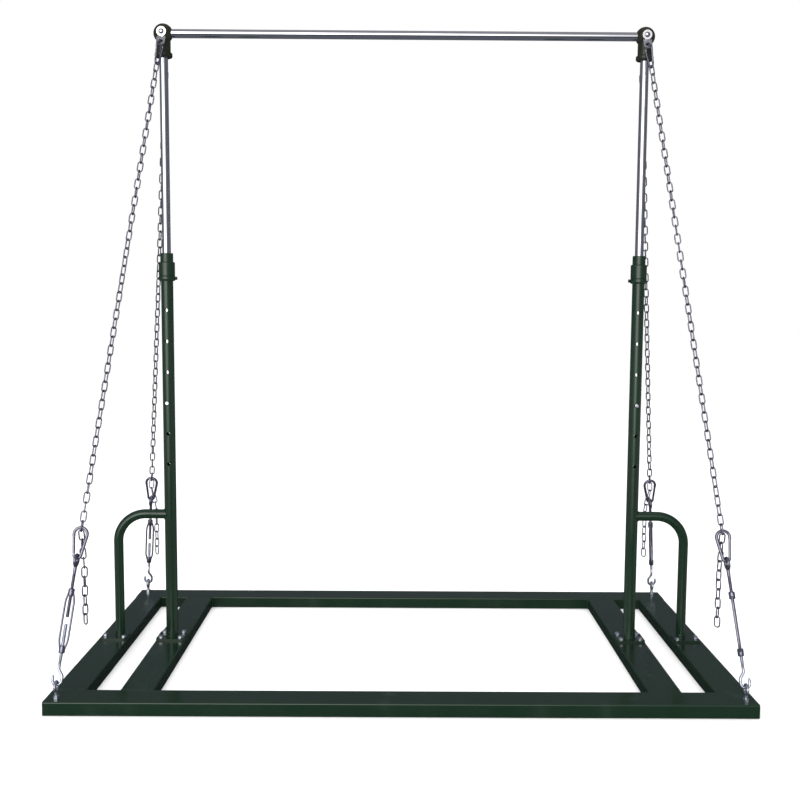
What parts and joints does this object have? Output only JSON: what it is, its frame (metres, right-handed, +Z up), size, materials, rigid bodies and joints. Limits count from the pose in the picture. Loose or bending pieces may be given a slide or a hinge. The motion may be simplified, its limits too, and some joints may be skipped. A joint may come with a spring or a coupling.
{
  "type": "free-standing gymnastics horizontal bar",
  "caption": "Free-standing adjustable horizontal bar: box-section floor frame, telescopic posts with lock pins, steel bar, chain stays with turnbuckles and snap hooks.",
  "frame": {"origin": "centre of the floor frame's footprint, on the floor", "axes": "+X along the bar to the right seen from the front, -Y the front, +Z up"},
  "size_m": [2.5, 1.4, 2.528],
  "materials": {
    "green_paint": "gloss dark green enamel",
    "head_paint": "semi-gloss black-olive enamel on a casting",
    "bar_chrome": "polished chrome",
    "polished_fittings": "polished",
    "bright_zinc": "bright zinc plate, bluish",
    "black_screws": "black oxide",
    "black_nylon": "moulded nylon"
  },
  "bodies": {
    "base": {"anchor_nuts": "bright_zinc", "brace_foot_bolts": "bright_zinc", "brace_foot_plates": "green_paint", "chain_tails": "bright_zinc", "collar_screws": "black_screws", "eye_bolts": "bright_zinc", "front_left_chain": "bright_zinc", "front_rail": "green_paint", "front_right_chain": "bright_zinc", "guide_bushes": "black_nylon", "left_brace": "green_paint", "left_collar": "green_paint", "left_inner_rail": "green_paint", "left_post": "green_paint", "left_side_rail": "green_paint", "lower_gate_pins": "bright_zinc", "lower_snap_hooks": "bright_zinc", "post_flanges": "green_paint", "post_foot_bolts": "bright_zinc", "rail_end_plates": "green_paint", "rail_weld_nuts": "bright_zinc", "rear_left_chain": "bright_zinc", "rear_rail": "green_paint", "rear_right_chain": "bright_zinc", "right_brace": "green_paint", "right_collar": "green_paint", "right_inner_rail": "green_paint", "right_post": "green_paint", "right_side_rail": "green_paint", "turnbuckle_hooks": "bright_zinc"},
    "carriage": {"left_inner_tube": "bar_chrome", "right_inner_tube": "bar_chrome", "tube_glides": "black_nylon", "high_bar": "bar_chrome", "left_head": "head_paint", "right_head": "head_paint", "head_set_screws": "black_screws", "head_bolts": "polished_fittings", "chain_lugs": "polished_fittings", "upper_snap_hooks": "bright_zinc", "upper_gate_pins": "bright_zinc"},
    "left_pin": {"left_lock_pin": "polished_fittings"},
    "right_pin": {"right_lock_pin": "polished_fittings"},
    "front_left_turnbuckle_body": {"front_left_turnbuckle": "bright_zinc"},
    "front_left_rod": {"front_left_eye_rod": "bright_zinc"},
    "front_left_lower_gate_body": {"front_left_lower_gate": "bright_zinc"},
    "front_left_upper_gate_body": {"front_left_upper_gate": "bright_zinc"},
    "front_right_turnbuckle_body": {"front_right_turnbuckle": "bright_zinc"},
    "front_right_rod": {"front_right_eye_rod": "bright_zinc"},
    "front_right_lower_gate_body": {"front_right_lower_gate": "bright_zinc"},
    "front_right_upper_gate_body": {"front_right_upper_gate": "bright_zinc"},
    "rear_left_turnbuckle_body": {"rear_left_turnbuckle": "bright_zinc"},
    "rear_left_rod": {"rear_left_eye_rod": "bright_zinc"},
    "rear_left_lower_gate_body": {"rear_left_lower_gate": "bright_zinc"},
    "rear_left_upper_gate_body": {"rear_left_upper_gate": "bright_zinc"},
    "rear_right_turnbuckle_body": {"rear_right_turnbuckle": "bright_zinc"},
    "rear_right_rod": {"rear_right_eye_rod": "bright_zinc"},
    "rear_right_lower_gate_body": {"rear_right_lower_gate": "bright_zinc"},
    "rear_right_upper_gate_body": {"rear_right_upper_gate": "bright_zinc"}
  },
  "joints": [
    {"name": "height_slide", "type": "slide", "parent": "base", "child": "carriage", "axis": [0, 0, 1], "range_m": [0, 0.375], "deforming": ["front_left_chain", "front_right_chain", "rear_left_chain", "rear_right_chain"]},
    {"name": "left_lock_pin_pull", "type": "slide", "parent": "base", "child": "left_pin", "axis": [0, -1, 0], "range_m": [0, 0.09]},
    {"name": "right_lock_pin_pull", "type": "slide", "parent": "base", "child": "right_pin", "axis": [0, -1, 0], "range_m": [0, 0.09]},
    {"name": "front_left_eye_rod_slide", "type": "slide", "parent": "base", "child": "front_left_rod", "axis": [0.1072, 0.2493, 0.9625], "range_m": [0, 0.007]},
    {"name": "front_left_turnbuckle_turn", "type": "hinge", "parent": "base", "child": "front_left_turnbuckle_body", "pos_m": [-1.18762, -0.60528, 0.31096], "axis": [0.1072, 0.2493, 0.9625], "range_deg": [0, 720]},
    {"name": "front_left_lower_gate_hinge", "type": "hinge", "parent": "base", "child": "front_left_lower_gate_body", "pos_m": [-1.1759, -0.54546, 0.54189], "axis": [0, 0.968, -0.2508], "range_deg": [0, 12], "stiffness_Nm_per_rad": 0.3, "springref_deg": -17.19},
    {"name": "front_left_upper_gate_hinge", "type": "hinge", "parent": "carriage", "child": "front_left_upper_gate_body", "pos_m": [-0.9628, -0.08153, 2.37541], "axis": [-0.9083, 0.4183, -0.0072], "range_deg": [0, 12], "stiffness_Nm_per_rad": 0.2, "springref_deg": -17.19},
    {"name": "front_right_eye_rod_slide", "type": "slide", "parent": "base", "child": "front_right_rod", "axis": [-0.1072, 0.2493, 0.9625], "range_m": [0, 0.007]},
    {"name": "front_right_turnbuckle_turn", "type": "hinge", "parent": "base", "child": "front_right_turnbuckle_body", "pos_m": [1.18762, -0.60528, 0.31096], "axis": [-0.1072, 0.2493, 0.9625], "range_deg": [0, 720]},
    {"name": "front_right_lower_gate_hinge", "type": "hinge", "parent": "base", "child": "front_right_lower_gate_body", "pos_m": [1.1759, -0.54546, 0.54189], "axis": [0, -0.968, 0.2508], "range_deg": [0, 12], "stiffness_Nm_per_rad": 0.3, "springref_deg": -17.19},
    {"name": "front_right_upper_gate_hinge", "type": "hinge", "parent": "carriage", "child": "front_right_upper_gate_body", "pos_m": [0.9628, -0.08153, 2.37541], "axis": [-0.9083, -0.4183, 0.0072], "range_deg": [0, 12], "stiffness_Nm_per_rad": 0.2, "springref_deg": -17.19},
    {"name": "rear_left_eye_rod_slide", "type": "slide", "parent": "base", "child": "rear_left_rod", "axis": [0.1072, -0.2493, 0.9625], "range_m": [0, 0.007]},
    {"name": "rear_left_turnbuckle_turn", "type": "hinge", "parent": "base", "child": "rear_left_turnbuckle_body", "pos_m": [-1.18762, 0.60528, 0.31096], "axis": [0.1072, -0.2493, 0.9625], "range_deg": [0, 720]},
    {"name": "rear_left_lower_gate_hinge", "type": "hinge", "parent": "base", "child": "rear_left_lower_gate_body", "pos_m": [-1.1759, 0.54546, 0.54189], "axis": [0, 0.968, 0.2508], "range_deg": [0, 12], "stiffness_Nm_per_rad": 0.3, "springref_deg": -17.19},
    {"name": "rear_left_upper_gate_hinge", "type": "hinge", "parent": "carriage", "child": "rear_left_upper_gate_body", "pos_m": [-0.9628, 0.08153, 2.37541], "axis": [0.9083, 0.4183, 0.0072], "range_deg": [0, 12], "stiffness_Nm_per_rad": 0.2, "springref_deg": -17.19},
    {"name": "rear_right_eye_rod_slide", "type": "slide", "parent": "base", "child": "rear_right_rod", "axis": [-0.1072, -0.2493, 0.9625], "range_m": [0, 0.007]},
    {"name": "rear_right_turnbuckle_turn", "type": "hinge", "parent": "base", "child": "rear_right_turnbuckle_body", "pos_m": [1.18762, 0.60528, 0.31096], "axis": [-0.1072, -0.2493, 0.9625], "range_deg": [0, 720]},
    {"name": "rear_right_lower_gate_hinge", "type": "hinge", "parent": "base", "child": "rear_right_lower_gate_body", "pos_m": [1.1759, 0.54546, 0.54189], "axis": [0, -0.968, -0.2508], "range_deg": [0, 12], "stiffness_Nm_per_rad": 0.3, "springref_deg": -17.19},
    {"name": "rear_right_upper_gate_hinge", "type": "hinge", "parent": "carriage", "child": "rear_right_upper_gate_body", "pos_m": [0.9628, 0.08153, 2.37541], "axis": [0.9083, -0.4183, -0.0072], "range_deg": [0, 12], "stiffness_Nm_per_rad": 0.2, "springref_deg": -17.19}
  ],
  "couplings": [
    {"joint": "front_left_turnbuckle_turn", "follows": "front_left_eye_rod_slide", "rad_per_m": 1795.2},
    {"joint": "front_right_turnbuckle_turn", "follows": "front_right_eye_rod_slide", "rad_per_m": 1795.2},
    {"joint": "rear_left_turnbuckle_turn", "follows": "rear_left_eye_rod_slide", "rad_per_m": 1795.2},
    {"joint": "rear_right_turnbuckle_turn", "follows": "rear_right_eye_rod_slide", "rad_per_m": 1795.2}
  ]
}
